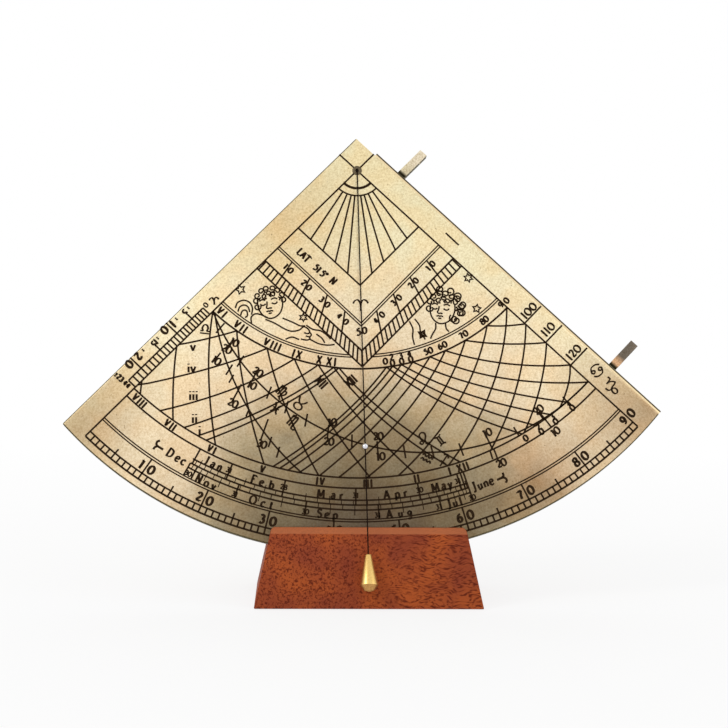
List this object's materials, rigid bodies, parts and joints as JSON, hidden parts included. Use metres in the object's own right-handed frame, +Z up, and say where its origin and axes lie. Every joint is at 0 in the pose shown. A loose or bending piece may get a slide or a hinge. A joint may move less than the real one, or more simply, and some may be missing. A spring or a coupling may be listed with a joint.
{
  "type": "quadrant with plumb line on a stand",
  "caption": "Quarter-circle brass plate with a sight rail and two sights, a plumb line with bead and bob from its corner, leaning in a slotted wooden stand.",
  "frame": {"origin": "middle of the stand's flat underside", "axes": "+Z up from the surface it stands on, +X to the right along the slot, the plate's engraved face and the stand's front towards -Y"},
  "size_m": [0.2158, 0.0612, 0.1676],
  "materials": {
    "stand_wood": "oiled red hardwood with open dark pores",
    "plate_brass": "satin brass plate, lightly lacquered, engraved lines filled dark",
    "rail_brass": "satin brass bar",
    "sight_brass": "polished brass",
    "eyelet_metal": "dull grey turned metal",
    "thread": "fine twisted dark brown thread",
    "bead_metal": "bright silvery bead",
    "bob_brass": "polished turned brass"
  },
  "bodies": {
    "stand": {"wooden_stand": "stand_wood"},
    "quadrant": {"quadrant_plate": "plate_brass", "sight_rail": "rail_brass", "rail_screws": "rail_brass", "upper_sight": "sight_brass", "lower_sight": "sight_brass", "line_eyelet": "eyelet_metal"},
    "line": {"plumb_line": "thread", "line_knot": "thread", "plumb_bob": "bob_brass", "bob_knot": "thread"},
    "bead": {"line_bead": "bead_metal"}
  },
  "joints": [
    {"name": "plate_lift", "type": "slide", "parent": "stand", "child": "quadrant", "axis": [0, 0.2756, 0.9613], "range_m": [0, 0.06]},
    {"name": "line_swing", "type": "hinge", "parent": "quadrant", "child": "line", "pos_m": [-0.004, 0.02184, 0.15523], "axis": [0, -0.9613, 0.2756], "range_deg": [-45, 45]},
    {"name": "bead_slide", "type": "slide", "parent": "line", "child": "bead", "axis": [0.0244, -0.31, -0.9504], "range_m": [-0.09, 0.036]}
  ]
}
